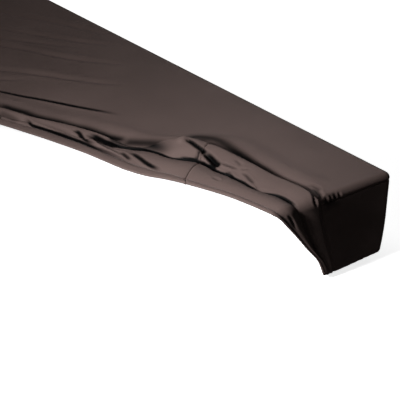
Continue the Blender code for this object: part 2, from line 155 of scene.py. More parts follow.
@dataclass(frozen=True)
class CoverForm:
    """The form of the fitted cover: a box with rounded edges, whose top falls to the front."""

    length: float = 1086.0
    depth: float = 313.5
    height: float = 92.5
    cloth: float = 1.6
    hem_tuck: float = 28.0
    edge_radius: float = 6.5
    hem_corner_radius: float = 30.0
    end_block: float = 36.0
    end_blend: float = 130.0
    origin_level: float = 5.0
    back_lift: float = 3.5
    back_cut: float = 4.5
    back_reach: float = 70.0
    cut_from: float = 45.0
    seam_drop: float = 8.0
    corner_seam: float = 10.0
    cross_seam: float = 396.0
    top_rows: tuple[TopRow, ...] = (
        TopRow(-156.75, -21.5, -6.5),
        TopRow(-150.0, -20.5, -6.2),
        TopRow(-118.0, -14.5, -5.5),
        TopRow(-87.0, -11.6, -5.0),
        TopRow(-40.0, -8.6, -4.4),
        TopRow(0.0, -5.0, -3.7),
        TopRow(8.0, -4.3, -3.6),
        TopRow(70.0, -2.4, -2.4),
        TopRow(150.0, 0.0, 0.0),
        TopRow(156.75, 0.0, 0.0),
    )

    @property
    def half_length(self) -> float:
        """Half the length of the form."""
        return self.length / 2

    @property
    def half_depth(self) -> float:
        """Half the depth of the form."""
        return self.depth / 2

    @property
    def hem_end(self) -> float:
        """Length of cloth from the top edge to the hem, down the wall and in under the bottom."""
        return self.height + self.hem_tuck

    @property
    def end_top(self) -> float:
        """Place u of the seam at the right end."""
        return self.half_length + self.seam_drop

    def top_height(self, x: Array, y: Array) -> Array:
        """Height of the smooth cloth in plan, over the level of the back edge."""
        places = tuple(row.w for row in self.top_rows)
        middle = Curve(places, tuple(row.middle for row in self.top_rows)).at(y)
        end = Curve(places, tuple(row.end for row in self.top_rows)).at(y)
        share = ease((self.half_length - self.end_block - np.abs(x)) / self.end_blend)
        return end + (middle - end) * share

    def wall(self, px: Array, py: Array, depth: Array) -> Array:
        """Points of the square-edged box, down its wall and then in under its bottom.

        Args:
            px: places along the length, on the box's edge or inside it.
            py: places from front to back.
            depth: distance of cloth below the top edge.

        Returns:
            The points, with x, y and z last.
        """
        px, py, depth = np.broadcast_arrays(px, py, depth)
        fan = self.hem_tuck + self.hem_corner_radius
        core_x = np.clip(px, fan - self.half_length, self.half_length - fan)
        core_y = np.clip(py, fan - self.half_depth, self.half_depth - fan)
        out = np.maximum(np.hypot(px - core_x, py - core_y), 1e-6)
        hem_x = core_x + (px - core_x) / out * self.hem_corner_radius
        hem_y = core_y + (py - core_y) / out * self.hem_corner_radius
        share = np.clip((depth - self.height) / self.hem_tuck, 0.0, None)
        x = px + (hem_x - px) * share
        y = py + (hem_y - py) * share
        return np.stack([x, y, -np.minimum(depth, self.height)], axis=-1)

    def fold(self, u: Array, w: Array) -> Array:
        """Fold places of the flat cloth over the square-edged box."""
        over = np.maximum(np.abs(u) - self.half_length, np.abs(w) - self.half_depth)
        px = np.clip(u, -self.half_length, self.half_length)
        py = np.clip(w, -self.half_depth, self.half_depth)
        return self.wall(px, py, np.maximum(over, 0.0))

    def shape(self, point: Array, rise: Array | float) -> Array:
        """Round the box's edges, lift the cloth off it and let the top fall to the front.

        Args:
            point: points of the square-edged box.
            rise: height of the cloth over the smooth cover there.

        Returns:
            The points of the cloth's outer face, in millimetres.
        """
        radius = self.edge_radius
        low = np.array([radius - self.half_length, radius - self.half_depth, radius - self.height])
        high = np.array([self.half_length - radius, self.half_depth - radius, -radius])
        core = np.clip(point, low, high)
        away = point - core
        reach = np.maximum(np.linalg.norm(away, axis=-1, keepdims=True), 1e-6)
        rise = np.broadcast_to(np.asarray(rise, dtype=float), point.shape[:-1])
        out = core + away / reach * (radius + rise[..., None])
        x, y, z = out[..., 0], out[..., 1], out[..., 2]
        level = np.clip((z + self.height) / self.height, 0.0, 1.0)
        back = ease((y - self.half_depth + self.back_reach) / self.back_reach)
        z = z + self.top_height(x, y) * level + self.back_lift * back * (1 - level)
        z = z + self.cloth + self.origin_level
        cut = np.clip((-core[..., 2] - self.cut_from) / (self.height - self.cut_from), 0.0, 1.0) ** 2
        return np.stack([x, y - self.back_cut * back * cut, z], axis=-1)


@dataclass(frozen=True)
class Section:
    """Section of the front skirt at a place u: its lines as places w, and the rises between them."""

    u: float
    hem: float
    tuck: float
    crease: float
    crest: float
    seam: float
    band: float
    middle: float
    roll: float


SECTION_ROWS: tuple[tuple[float, ...], ...] = (
    (-543, -277.25, -236, -196, -180, -164.75, 0, 0, 0),
    (-170, -277.25, -236, -196, -180, -164.75, 0, 0, 0),
    (-120, -263, -230, -194, -178, -163.5, 0.5, 0.5, 0.5),
    (-80, -238, -210, -186, -172, -160, 1.5, 1.5, 2.5),
    (-40, -207, -187, -171, -160, -151, 2, 2, 4),
    (-5, -181, -168, -156, -146, -138, 2, 2, 5),
    (25, -163, -152, -142, -132, -124, 2, 2, 5.5),
    (60, -147, -137, -128, -118, -110.5, 2, 2, 5.5),
    (100, -130, -121, -114, -103, -95.5, 1, 1.5, 5),
    (150, -111, -102, -97, -87, -79.5, 0.4, 1.5, 5),
    (175, -101.5, -92.5, -87, -78, -70.5, 0.4, 1.5, 5),
    (200, -92.5, -83, -76, -69.5, -62, 0.4, 1.5, 5),
    (220, -86, -75.5, -69, -61, -53.5, 0.4, 1.5, 5),
    (245, -77.7, -66.7, -62, -49, -41, 0.4, 2, 5),
    (270, -69.7, -59, -52, -39, -31, 0.4, 2, 5),
    (298, -61.3, -51, -39, -30, -21, 0.4, 2.2, 4.6),
    (312, -57.5, -47.5, -36, -27.5, -16.5, 0.4, 2.5, 4.4),
    (322, -55, -45, -33, -28.5, -13, 0.4, 2.5, 4),
    (338, -51.5, -41.5, -25.5, -22.5, -4, 0.4, 2.8, 1.8),
    (350, -48.8, -38.5, -15.5, -12.5, 12, 0.4, 2.8, 2.2),
    (360, -46.7, -36, -7, -2, 28, 0.4, 3, 6.5),
    (366, -45.3, -34.5, -3.5, 12, 36, 0.4, 3, 9.5),
    (372, -44, -33.5, -0.5, 20.5, 43, 0.4, 3, 11.2),
    (378, -42, -31.5, 1, 27, 48, 0.4, 3, 12.5),
    (386, -39.5, -29, 2.5, 33, 53, 0.4, 3.5, 11.8),
    (400, -34.5, -24.5, 8.5, 37, 58.5, 0.4, 3.2, 11.4),
    (415, -26.5, -18, 18, 42.5, 60, 0.4, 3, 10.6),
    (430, -19.5, -12.5, 21.5, 45.5, 60, 0.4, 2.8, 9.4),
    (445, -13.5, -8, 23, 49, 59.5, 0.4, 2.6, 7.8),
    (460, -8, -3.5, 26.5, 51.5, 60, 0.4, 2.6, 6.8),
    (490, 2.5, 7, 30, 54.5, 62, 0.5, 2.6, 5.5),
    (505, 6.5, 10.5, 32, 57, 64, 0.5, 2.6, 5.5),
    (520, 10, 14, 37, 59.5, 65.5, 0.5, 2.6, 5.5),
    (543, 15, 19, 38.5, 60.5, 66, 0.5, 2.5, 4.5),
    (555, 24, 27.5, 43.5, 63, 68, 0.8, 2.5, 3),
    (573, 38, 40, 51, 68, 73, 0.8, 2, 2),
    (593, 53, 54.5, 60.5, 74, 79, 0.6, 1.5, 1.5),
    (615, 70, 71.5, 76, 82.5, 86, 0.5, 1, 1),
    (635.5, 79, 81, 86, 89, 91, 0.4, 0.5, 0.5),
    (663.5, 94, 95, 96.5, 97.7, 98.7, 0, 0, 0),
)


@dataclass(frozen=True)
class FrontFolds:
    """The drawn-back front skirt: lines that run along it, and the heights of its rolls.

    Left of fitted_to the skirt is fitted. Its hem leans to the right round the cross seam, by lean at most.
    Round slumped_at the roll has slumped backwards. The valley runs along the seam with the top, between
    the roll, which falls into it, and a low lip. Measures are in millimetres of cloth, shares from 0 to 1.
    """

    sections: tuple[Section, ...] = tuple(Section(*row) for row in SECTION_ROWS)
    lean: float = 46.0
    lean_curve: float = 1.4
    slumped_at: float = 345.0
    slumped_width: float = 20.0
    steep: float = 0.5
    roundness: float = 0.95
    lean_width: float = 110.0
    lean_fade: float = 60.0
    fitted_to: float = -170.0
    fitted_blend: float = 80.0
    valley_depth: float = 4.0
    valley_width: float = 8.0
    valley_from: float = -60.0
    valley_blend: float = 160.0
    valley_end: float = 40.0
    lip_height: float = 0.3
    lip_place: float = 2.6
    lip_width: float = 1.3
    falls_from: float = 0.8
    slump_earlier: float = 0.7

    def line(self, name: str, u: Array) -> Array:
        """Read one column of the table of sections."""
        places = tuple(row.u for row in self.sections)
        return Curve(places, tuple(getattr(row, name) for row in self.sections)).at(u)

    def roll_profile(self, u: Array, share: float) -> Array:
        """Height of the roll as a share of its crest's, at a share of the way from crease to seam."""
        crease, seam = self.line("crease", u), self.line("seam", u)
        crest = (self.line("crest", u) - crease) / (seam - crease)
        rising = np.sin(np.pi / 2 * np.clip(share / crest, 0.0, 1.0)) ** self.roundness
        reach = self.steep + (1 - self.steep) * self.slumped(u)
        falling = 1 - ease((share - crest) / (1 - crest) / reach)
        return np.where(share < crest, rising, falling)

    def slumped(self, u: Array) -> Array:
        """How far the roll has slumped backwards, from 0 to 1."""
        return bell((u - self.slumped_at) / self.slumped_width)

    def valley(self, form: CoverForm, u: Array) -> Array:
        """Depth of the valley along the seam, where the skirt is gathered on the top."""
        rising = ease((u - self.valley_from) / self.valley_blend)
        return self.valley_depth * rising * ease((form.half_length - u) / self.valley_end)


@dataclass(frozen=True)
class CreaseProfile:
    """What all creases have in common.

    The reach and the lips' place and width are in widths of the crease. Swell and ripple are slight
    changes of its depth along it, each with its own length in millimetres. A shade is the steepness of
    the edge of the painted shade along the crease and its width; a crease whose sharpness is soft_from or
    more has the soft one.
    """

    reach: float = 5.0
    lip_place: float = 2.2
    lip_width: float = 1.2
    swell: float = 0.16
    swell_length: float = 17.0
    ripple: float = 0.1
    ripple_length: float = 7.3
    soft_from: float = 1.9
    crisp_shade: tuple[float, float] = (3.5, 1.6)
    soft_shade: tuple[float, float] = (2.0, 1.7)


PROFILE = CreaseProfile()


@dataclass(frozen=True)
class Crease:
    """A crease or a ridge that runs along a line of flat cloth places.

    The depth is that of the trough; a negative one is a ridge. The lips are the swells to the left and
    right of the line as it runs, as shares of the depth. Sharp is 2 for a soft trough and 1 for a
    knife crease. Start and stop are the shares of the line over which it fades in and out. Dark is how
    much of the cloth's colour its painted shade takes, shade painted into the colour along its hollow:
    1 is all of it, and more widens the part that is fully dark, since a sheet's painted shade is never
    over 1.
    """

    name: str
    points: tuple[tuple[float, float], ...]
    depth: float
    width: float
    left: float = 0.2
    right: float = 0.2
    sharp: float = 1.6
    start: float = 0.25
    stop: float = 0.3
    # share of the colour taken by shade painted into the crease's hollow
    dark: float = 0.0

    def track(self) -> Array:
        """Round the line's corners.

        Returns:
            Points along a smooth line through the crease's points.
        """
        knots = np.asarray(self.points, dtype=float)
        if len(knots) == 2:
            return knots
        padded = np.vstack([2 * knots[0] - knots[1], knots, 2 * knots[-1] - knots[-2]])
        track = [knots[0]]
        for k in range(1, len(padded) - 2):
            a, b, c, d = padded[k - 1:k + 3]
            for t in (0.25, 0.5, 0.75, 1.0):
                track.append(0.5 * (2 * b + (c - a) * t + (2 * a - 5 * b + 4 * c - d) * t ** 2
                                    + (3 * b - a - 3 * c + d) * t ** 3))
        return np.array(track)

    def press(self, u: Array, w: Array) -> Array:
        """Press the crease into the cloth.

        Args:
            u: places along the cloth.
            w: places across it.

        Returns:
            The height that it gives the cloth, in millimetres, and its painted shade.
        """
        track = self.track()
        reach = PROFILE.reach * self.width
        found = np.zeros((2, *u.shape))
        near = ((u > track[:, 0].min() - reach) & (u < track[:, 0].max() + reach)
                & (w > track[:, 1].min() - reach) & (w < track[:, 1].max() + reach))
        LOG.debug("%s: pressed into %d points", self.name, near.sum())
        if not near.any():
            return found
        pu, pw = u[near], w[near]
        steps = np.diff(track, axis=0)
        lengths = np.hypot(steps[:, 0], steps[:, 1])
        ends = np.concatenate([[0.0], np.cumsum(lengths)])
        best = np.full(pu.shape, np.inf)
        along = np.zeros(pu.shape)
        side = np.zeros(pu.shape)
        for (u0, w0), (du, dw), length, gone in zip(track, steps, lengths, ends):
            ru, rw = pu - u0, pw - w0
            share = np.clip((ru * du + rw * dw) / length ** 2, 0.0, 1.0)
            gap = np.hypot(ru - share * du, rw - share * dw)
            closer = gap < best
            best = np.where(closer, gap, best)
            along = np.where(closer, gone + share * length, along)
            side = np.where(closer, np.sign(du * rw - dw * ru), side)
        share = along / ends[-1]
        fade = ease(share / self.start) * ease((1 - share) / self.stop)
        swell = PROFILE.swell * np.sin(along / PROFILE.swell_length + self.points[0][0])
        uneven = 1 + swell + PROFILE.ripple * np.sin(along / PROFILE.ripple_length)
        off = best / self.width
        trough = np.exp(-off ** self.sharp)
        lip = np.where(side > 0, self.left, self.right)
        lip = lip * bell((off - PROFILE.lip_place) / PROFILE.lip_width)
        found[0, near] = self.depth * fade * uneven * (lip - trough)
        # painted shade: the colour darkens along the line of the crease, where its hollow is in shade
        edge, spread = PROFILE.crisp_shade if self.sharp < PROFILE.soft_from else PROFILE.soft_shade
        found[1, near] = self.dark * fade * np.exp(-(best / (spread * self.width)) ** edge)
        return found


# Creases of the top; where a crease has dark, shade is painted into the cloth's colour along it.
CREASES: tuple[Crease, ...] = (
    Crease("pull_far_back", ((-330, 18), (-202, 66), (-86, 116), (-17, 136), (27, 144)), 2.6, 5),
    Crease("pull_back", ((-262, -42), (-127, 34), (-7, 95), (66, 138)), 2.8, 4.5),
    Crease("pull_mid_short", ((-226, -66), (-86, 17), (32, 92)), 2.4, 4),
    Crease("pull_mid", ((-190, -76), (-59, 5), (28, 45), (96, 84), (132, 110)), 2.8, 4.5),
    Crease("pull_front", ((-92, -104), (28, -31), (142, 37), (190, 70)), 2.6, 4.5),
    Crease("pull_front_short", ((-10, -92), (58, -44), (92, -17)), 1.8, 4),
    Crease("pull_strong", ((70, -74), (100, -61), (129, -48), (155, -34), (182, -21), (209, -9), (234, 3),
           (256, 14), (268, 19)), 1.3, 1.7, left=0.15, right=0.35, sharp=1.3, dark=1.5),
    # The three next are mostly painted shade: along the left seam, the shadow that the high roll casts on
    # the top behind it, and the shade on the slumped cloth.
    Crease("seam_shade", ((118, -84), (143, -74), (158, -69), (175, -62.5), (189, -59), (203, -54),
           (216, -48), (229, -42), (246, -35), (263, -27.5), (281, -22), (295, -18), (309, -12.5),
           (318, -8)), 0.6, 2.3, sharp=2, start=0.15, stop=0.05, dark=1),
    Crease("roll_shade", ((355, 38), (362, 50), (370, 58), (379, 63.5), (390, 66), (401, 66.5),
           (419, 65.5), (431, 64.5), (449, 63.5), (468, 65), (488, 66.5), (508, 68)), 0.8, 3.4, sharp=2,
           start=0.06, stop=0.5, dark=0.88),
    Crease("slack_shade", ((311, -14), (321, -9), (331, -2.5), (341, 5.5), (351, 16), (358, 26)), 0.4,
           3.3, sharp=2, start=0.2, stop=0.3, dark=0.9),
    Crease("corner_fold_1", ((515, 75), (523, 78), (533, 77)), 1.2, 1.6, sharp=1.4, dark=0.35),
    Crease("corner_fold_2", ((522, 73), (528, 74), (537, 71), (547, 68)), 2, 1.8, sharp=1.4, dark=0.5),
    Crease("pucker_1", ((539, 74), (551, 74.5), (563, 75)), 1.5, 1.5, start=0.2, dark=0.6),
    Crease("pucker_2", ((540, 79.5), (551, 80), (561, 80)), 1.2, 1.5, start=0.2, dark=0.6),
    Crease("pucker_3", ((540, 84.5), (551, 85), (562, 86)), 1.5, 1.5, start=0.2, dark=0.6),
    Crease("pucker_4", ((542, 89.5), (551, 90), (556, 90)), 1, 1.4, start=0.2),
)


# Creases of the front skirt; where a crease has dark, shade is painted into the cloth's colour along it.
SKIRT_CREASES: tuple[Crease, ...] = (
    # a soft painted shade at the start of the lower fold
    Crease("left_painted_shade_patch", ((158, 17), (173, 16), (187, 14), (202, 11)), 1.2, 2.8, dark=0.5),
    # mostly painted shade on the slumped cloth above the main fold
    Crease("slack_roll_painted_shade", ((308, 35), (316, 38), (325, 42), (340, 46), (358, 49), (368, 50), (378, 49),
           (388, 45)), 0.6, 4.8, sharp=2, start=0.2, stop=0.35, dark=1),
    Crease("lower_fold", ((199, 20), (208, 17), (221, 12), (232, 11.7), (247, 11.6), (262, 11.4),
           (277, 11), (290, 11.3), (308, 11), (328, 12), (353, 12.3), (370, 10.5), (391, 10), (406, 8.5),
           (420, 4)), 1.7, 1.4, left=0.35, right=0.1, sharp=1.3, start=0.08, stop=0.75, dark=1.4),
    Crease("lower_fold_edge", ((199, 23), (217, 19), (234, 18), (257, 17), (280, 16)), -1.4, 2),
    Crease("short_fold", ((265, 26), (275, 24.5), (284, 20.5), (296, 16), (307, 15), (318, 15)), 1.5, 1.4,
           sharp=1.3, start=0.15, stop=0.5, dark=1.1),
    Crease("bright_edge", ((283, 24), (297, 20), (312, 17), (328, 15.5), (351, 15), (365, 14)), -1.8, 2),
    Crease("deep_tuck", ((282, 25.5), (290, 27.5), (298, 28), (308, 28), (316, 28), (324, 29), (332, 32)),
           3, 2.3, left=0.1, right=0.2, sharp=1.8, start=0.3, dark=1.2),
    Crease("main_fold", ((316, 28), (323, 28.5), (334, 32.5), (344, 36.5), (352, 39.5), (362, 41.2),
           (373, 41.8), (384, 39.2), (390, 38.4), (398, 40), (406, 42), (415, 43.3), (424, 42), (432, 40),
           (442, 37.2), (455, 35), (464, 32.5), (472, 31), (480, 28.5), (490, 25), (497, 23.3)), 2.2, 1.5,
           left=0.25, right=0.1, sharp=1.3, start=0.05, stop=0.12, dark=1.5),
    Crease("main_fold_dip", ((424, 43.3), (431, 41.7), (438, 39.5)), 1, 1.8, sharp=1.8, dark=0.8),
    Crease("main_fold_end", ((480, 28.5), (490, 25), (500, 23.3), (510, 25.5), (520, 27.3), (530, 26.5),
           (540, 24.5), (548, 23), (553, 22)), 1.3, 1.3, left=0.3, right=0, sharp=1.3, start=0.12,
           stop=0.35, dark=1.25),
    Crease("under_corner", ((492, 26), (502, 26), (512, 28.5)), 1, 2, sharp=1.8, dark=0.2),
    Crease("end_fold", ((550, 22.5), (556, 21.5), (566, 18), (580, 13), (590, 10), (602, 7), (612, 3.5)),
           1.4, 1.4, start=0.1, dark=0.3),
    Crease("end_crease", ((547, 10), (552, 9), (559, 7), (567, 5)), 1.2, 1.2, dark=0.4),
    Crease("band_pull", ((348, 26), (355, 25.5), (362, 24), (372, 21), (382, 17.5), (390, 15), (397, 13),
           (406, 9.5)), 1.6, 1.4, sharp=1.3, dark=1.2),
    Crease("band_pull_small", ((344, 21), (350, 19.5), (356, 18), (366, 15)), 1, 1.3, sharp=1.3,
           dark=0.9),
    Crease("seam_pull", ((405, 55.5), (407, 52.5), (409, 48.5), (410, 45.5)), 0.6, 0.9, sharp=1.4,
           start=0.1, stop=0.1, dark=0.9),
    Crease("peak", ((373, 74), (379, 65), (382, 58)), -1.6, 3.2),
    Crease("peak_fold", ((381, 66), (386, 65), (396, 61.2), (403, 59), (412, 55.5)), 2.6, 1.5, left=0.25,
           right=0.1, sharp=1.4, start=0.12, stop=0.1, dark=1.3),
    Crease("pocket", ((407, 57.5), (413, 54.5), (421, 51.5), (428, 48.5), (434, 46.2), (439, 45.3)), 4.2,
           2.2, left=0.1, right=0.1, sharp=1.8, start=0.35, stop=0.2, dark=1.4),
    Crease("pocket_flap", ((405, 53.5), (411, 52), (418, 48.5), (424, 45.5)), -1.3, 1.8),
    Crease("flap_fold", ((394, 41.5), (402, 43), (408, 44.5), (414, 45)), 1, 1.2, sharp=1.4, dark=1.1),
    Crease("crow_foot_1", ((435, 49.8), (447, 47.5), (457, 46.3)), 1.1, 1, sharp=1.4, dark=0.5),
    Crease("crow_foot_2", ((443, 58), (450, 55), (455, 51.5)), 0.9, 1.3, sharp=1.4, dark=0.12),
    Crease("crow_foot_3", ((459, 46.5), (465, 51)), 0.8, 1.2, sharp=1.4, dark=0.15),
    Crease("crow_foot_4", ((463, 43.5), (472, 40), (479, 36.3), (488, 32.5)), 1.1, 1.1, sharp=1.4,
           dark=0.5),
    Crease("crow_foot_5", ((449, 40.8), (455, 37), (461, 33)), 1.1, 1.3, sharp=1.4, dark=0.7),
    Crease("band_dimple", ((453, 20.3), (463, 18)), 0.9, 1.3, dark=0.15),
    Crease("corner_edge", ((534, 54), (539, 51), (544, 47.5), (550, 43)), -1.2, 1.7),
    Crease("corner_dip", ((536, 49.5), (540, 46.5), (545, 43), (550, 40.5)), 1.3, 1.2, sharp=1.4,
           dark=0.5),
)


@dataclass(frozen=True)
class FoldMap:
    """All relief of the cloth over the smooth cover and its painted shade, in flat cloth coordinates."""

    form: CoverForm
    folds: FrontFolds
    creases: tuple[Crease, ...] = CREASES
    skirt_creases: tuple[Crease, ...] = SKIRT_CREASES
    soft_height: float = 0.35
    skirt_offset: float = 0.9
    end_overlap: float = 2.0
    end_fade: float = 8.0
    edge_fade: float = 14.0

    def seam(self, u: Array) -> Array:
        """Place w of the seam between the top and the front skirt."""
        return self.folds.line("seam", np.minimum(u, self.form.end_top))

    def unevenness(self, u: Array, w: Array) -> Array:
        """Slight unevenness that all slack cloth has: three waves of unlike lengths, so that none shows."""
        swell = (np.sin(u / 31.0 + 1.7 * np.sin(w / 47.0)) + np.sin(w / 19.0 + u / 57.0 + 0.8)
                 + 0.7 * np.sin(u / 13.0 - w / 23.0 + 2.1))
        return self.soft_height * swell / 2.7

    def creased(self, u: Array, w: Array) -> Array:
        """Relief and painted shade of the top's creases together, at flat cloth places."""
        return sum((crease.press(u, w) for crease in self.creases), np.zeros((2, *u.shape)))

    def skirt(self, u: Array, across: Array) -> Array:
        """Relief and painted shade of the front skirt's creases together.

        Args:
            u: places along the cloth.
            across: lengths of cloth from the hem.

        Returns:
            The relief there, in millimetres, and the painted shade.
        """
        across = across - self.skirt_offset
        return sum((crease.press(u, across) for crease in self.skirt_creases), np.zeros((2, *u.shape)))

    def top(self, u: Array, w: Array) -> Array:
        """Relief and painted shade of the top panel.

        Args:
            u: places along the cloth.
            w: places across it.

        Returns:
            The relief there, in millimetres, and the painted shade.
        """
        folds = self.folds
        near = (w - self.seam(u)) / folds.valley_width
        lip = folds.lip_height * bell((near - folds.lip_place) / folds.lip_width)
        valley = folds.valley(self.form, u) * (lip - bell(near))
        inside = ease((self.form.half_length + self.end_overlap - np.abs(u)) / self.end_fade)
        inside = inside * ease((self.form.half_depth - np.abs(w)) / self.edge_fade)
        relief, shade = self.creased(u, w)
        return np.stack([valley * inside + relief + inside * self.unevenness(u, w), shade])


@dataclass
class Grid:
    """A sheet as rows and columns of points, with the flat cloth place and the painted shade of each."""

    points: Array
    flat: Array
    shade: Array

    def turned(self) -> Grid:
        """The same grid with its rows in the other order, which turns its faces over."""
        return Grid(self.points[::-1], self.flat[::-1], self.shade[::-1])

    def area(self) -> float:
        """Area of the flat cloth, in square metres."""
        u, w = self.flat[..., 0], self.flat[..., 1]
        du, dw = np.diff(u, axis=0)[:, :-1], np.diff(w, axis=0)[:, :-1]
        eu, ew = np.diff(u, axis=1)[:-1], np.diff(w, axis=1)[:-1]
        return float(np.abs(du * ew - dw * eu).sum()) * MM * MM


@dataclass(frozen=True)
class NodeBench:
    """A node tree that is being laid out, with short ways to add and join its nodes."""

    tree: bpy.types.NodeTree

    def feed(self, socket: Socket, value: object) -> None:
        """Join an input to another node's socket, or set it to a value."""
        if isinstance(value, Socket):
            self.tree.links.new(value, socket)
        else:
            socket.default_value = value

    def add(self, kind: str, inputs: dict[str | int, object] | None = None,
            **settings: object) -> bpy.types.Node:
        """Add a node.

        Args:
            kind: type of the node.
            inputs: a socket or a value for each input, by its name or number.
            settings: the node's own settings.

        Returns:
            The node.
        """
        node = self.tree.nodes.new(kind)
        for name, value in settings.items():
            setattr(node, name, value)
        for name, value in (inputs or {}).items():
            self.feed(node.inputs[name], value)
        return node

    def math(self, kind: str, *values: object) -> Socket:
        """Add a Math node over sockets or numbers, and give its result."""
        return self.add("ShaderNodeMath", dict(enumerate(values)), operation=kind).outputs[0]

    def noise(self, where: Socket, scale: float, detail: float = 2.0) -> Socket:
        """Add noise of a given scale and detail, and give its value."""
        inputs = {"Scale": scale, "Detail": detail, "Vector": where}
        return self.add("ShaderNodeTexNoise", inputs).outputs["Fac"]

    def mix(self, share: Socket, low: object, high: object,
            kind: str = "RGBA") -> Socket:
        """Mix two colours or numbers by a share, and give the result."""
        inputs = {"Factor": share, "A": low, "B": high}
        return self.add("ShaderNodeMix", inputs, data_type=kind).outputs["Result"]

    def ramp(self, share: Socket, low: Colour, high: Colour,
             start: float = 0.0) -> Socket:
        """Grade from one colour to another, from a start up to 1, and give the colour."""
        node = self.add("ShaderNodeValToRGB", {"Fac": share})
        node.color_ramp.elements[0].position = start
        node.color_ramp.elements[0].color = (*low, 1.0)
        node.color_ramp.elements[1].color = (*high, 1.0)
        return node.outputs["Color"]

    def bump(self, height: Socket, strength: float, distance: float) -> Socket:
        """Turn a height into fine bumps, and give the normal."""
        inputs = {"Strength": strength, "Distance": distance, "Height": height}
        return self.add("ShaderNodeBump", inputs).outputs["Normal"]


def start_material(name: str) -> tuple[bpy.types.Material, NodeBench]:
    """Start a material with a plain surface, and lay out its bench."""
    material = bpy.data.materials.new(name)
    material.use_nodes = True
    return material, NodeBench(material.node_tree)


def finish_material(bench: NodeBench, surface: dict[str, object]) -> None:
    """Feed a surface's inputs, each with a socket or a value."""
    for name, value in surface.items():
        bench.feed(bench.tree.nodes["Principled BSDF"].inputs[name], value)


def tinted(colour: Colour, share: float) -> Colour:
    """A colour made darker or lighter by a share."""
    return tuple(share * part for part in colour)


@dataclass(frozen=True)
class KnitFinish:
    """Fine matt stretch knit of one colour.

    Colours are linear. The wale and course are the pitches of the knit's columns and rows, in metres.
    Where the sheet's points carry painted shade, the colour fades to black.
    """

    name: str
    colour: Colour = (0.072, 0.050, 0.045)
    pale: Colour = (0.113, 0.081, 0.074)
    lowest: float = 0.82
    pale_from: float = 0.2
    wale: float = 0.0007
    course: float = 0.0006
    yarn_scale: float = 900.0
    broad_scale: float = 9.0
    roughness: float = 0.62
    roughness_range: float = 0.16
    specular: float = 0.05
    sheen: float = 0.035
    sheen_roughness: float = 0.45
    bump: float = 0.35
    bump_height: float = 0.00015

    def loops(self, bench: NodeBench, place: bpy.types.NodeOutputs) -> Socket:
        """Lay out the height of the knit.

        Args:
            bench: the bench of the material.
            place: flat cloth coordinates, apart.

        Returns:
            The height of the leaning loops, with a groove between their columns.
        """
        across = bench.math("MULTIPLY", place["X"], 1 / self.wale)
        along = bench.math("MULTIPLY", place["Y"], 1 / self.course)
        mirrored = bench.math("ABSOLUTE", bench.math("SUBTRACT", bench.math("FRACT", across), 0.5))
        leaning = bench.math("ADD", along, mirrored)
        loops = bench.math("SINE", bench.math("MULTIPLY", leaning, 2 * math.pi))
        groove = bench.math("SINE", bench.math("MULTIPLY", mirrored, math.pi))
        return bench.math("MULTIPLY", bench.math("ADD", loops, 1.5), bench.math("SUBTRACT", 1.25, groove))

    def material(self) -> bpy.types.Material:
        """Build the cloth's material.

        Returns:
            A material that reads the sheet's own cloth coordinates and its painted shade.
        """
        material, bench = start_material(self.name)
        cloth = bench.add("ShaderNodeUVMap", uv_map=CLOTH_UV).outputs["UV"]
        knit = self.loops(bench, bench.add("ShaderNodeSeparateXYZ", {0: cloth}).outputs)
        yarn = bench.noise(cloth, self.yarn_scale)
        broad = bench.noise(cloth, self.broad_scale, 3.0)
        tone = bench.math("ADD", bench.math("MULTIPLY", yarn, 0.5), bench.math("MULTIPLY", broad, 0.55))
        tone = bench.math("ADD", tone, bench.math("MULTIPLY", knit, 0.06))
        dyed = bench.ramp(tone, tinted(self.colour, self.lowest), self.pale, self.pale_from)
        # painted shade of the sheet's points, read to darken the colour
        shade = bench.add("ShaderNodeAttribute", attribute_name=PAINTED_SHADE).outputs["Fac"]
        rough = bench.math("ADD", bench.math("MULTIPLY", yarn, self.roughness_range),
                           self.roughness - self.roughness_range / 2)
        fuzz = bench.math("ADD", bench.math("MULTIPLY", knit, 0.5), yarn)
        finish_material(bench, {
            # painted shade: the dyed colour fades to black where the points carry it
            "Base Color": bench.mix(shade, dyed, (0.0, 0.0, 0.0, 1.0)),
            "Roughness": rough,
            "Specular IOR Level": self.specular,
            "Sheen Weight": self.sheen,
            "Sheen Roughness": self.sheen_roughness,
            "Sheen Tint": (*self.pale, 1.0),
            "Normal": bench.bump(fuzz, self.bump, self.bump_height),
        })
        return material


@dataclass(frozen=True)
class ThreadFinish:
    """Spun sewing thread, a little darker and smoother than the cloth."""

    name: str = "sewing_thread"
    colour: Colour = (0.055, 0.042, 0.038)
    contrast: float = 0.3
    roughness: float = 0.5
    sheen: float = 0.15
    twist_scale: float = 2600.0
    bump: float = 0.4
    bump_height: float = 0.0001

    def material(self) -> bpy.types.Material:
        """Build the thread's material, with the fine twist of its plies."""
        material, bench = start_material(self.name)
        twist = bench.noise(bench.add("ShaderNodeTexCoord").outputs["Object"], self.twist_scale)
        dark, light = tinted(self.colour, 1 - self.contrast), tinted(self.colour, 1 + self.contrast)
        finish_material(bench, {
            "Base Color": bench.ramp(twist, dark, light),
            "Roughness": self.roughness,
            "Sheen Weight": self.sheen,
            "Normal": bench.bump(twist, self.bump, self.bump_height),
        })
        return material


